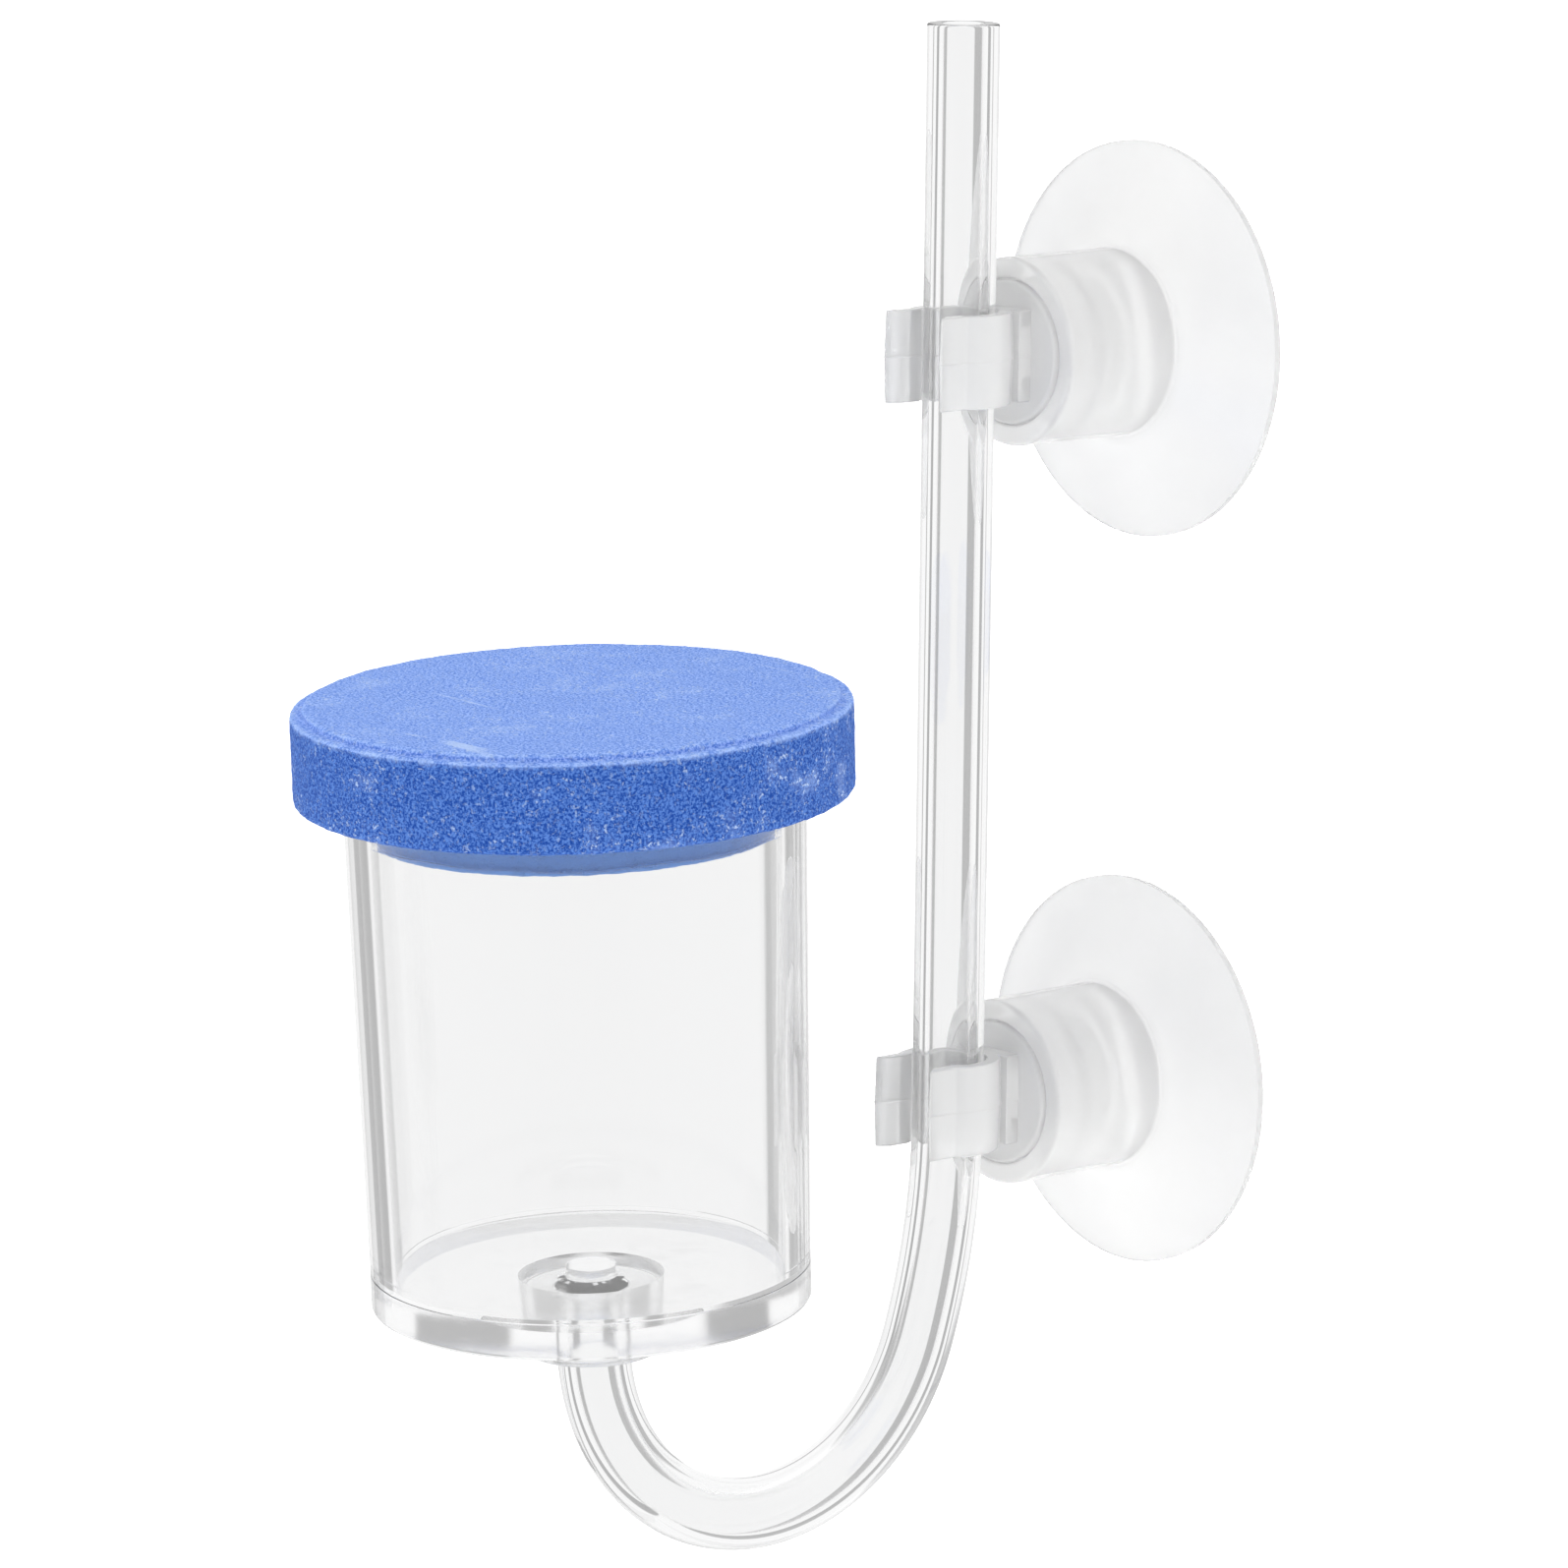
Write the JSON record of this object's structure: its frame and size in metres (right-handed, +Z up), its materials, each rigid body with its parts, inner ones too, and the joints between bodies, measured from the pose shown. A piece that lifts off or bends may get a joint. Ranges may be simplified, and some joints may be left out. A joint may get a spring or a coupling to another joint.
{
  "type": "aquarium carbon dioxide diffuser",
  "caption": "Clear hooked gas tube feeding a clear chamber with a porous blue disc lid, hung on aquarium glass by snap clips that swivel in soft suction cups.",
  "frame": {"origin": "centre of the upper suction cup's sealing rim, on the face of the aquarium glass", "axes": "+Z up along the straight gas tube, +Y square to the glass and towards it, +X sideways along the glass"},
  "size_m": [0.0448, 0.0834, 0.1252],
  "materials": {
    "blue_mineral": "sintered porous grains, dry and matt",
    "clear_acrylic": "polished water-clear acrylic",
    "clear_adhesive": "cured clear adhesive",
    "frosted_clip_plastic": "milky natural moulded plastic",
    "soft_clear_vinyl": "hazy soft vinyl"
  },
  "bodies": {
    "upper_cup": {"upper_suction_cup": "soft_clear_vinyl"},
    "upper_clip": {"upper_tube_clip": "frosted_clip_plastic"},
    "diffuser": {"inlet_tube": "clear_acrylic", "inlet_boss": "clear_acrylic", "chamber_base": "clear_acrylic", "chamber_tube": "clear_acrylic", "diffuser_disc": "blue_mineral", "disc_adhesive_ring": "clear_adhesive"},
    "lower_clip": {"lower_tube_clip": "frosted_clip_plastic"},
    "lower_cup": {"lower_suction_cup": "soft_clear_vinyl"}
  },
  "joints": [
    {"name": "upper_clip_swivel", "type": "hinge", "parent": "upper_cup", "child": "upper_clip", "pos_m": [0, 0, 0], "axis": [0, 1, 0], "continuous": true},
    {"name": "tube_slide", "type": "slide", "parent": "upper_clip", "child": "diffuser", "axis": [0, 0, -1], "range_m": [-0.0145, 0.0225]},
    {"name": "lower_clip_slide", "type": "slide", "parent": "diffuser", "child": "lower_clip", "axis": [0, 0, 1], "range_m": [0, 0.0145]},
    {"name": "lower_cup_swivel", "type": "hinge", "parent": "lower_clip", "child": "lower_cup", "pos_m": [0, 0, -0.0628], "axis": [0, 1, 0], "continuous": true}
  ]
}
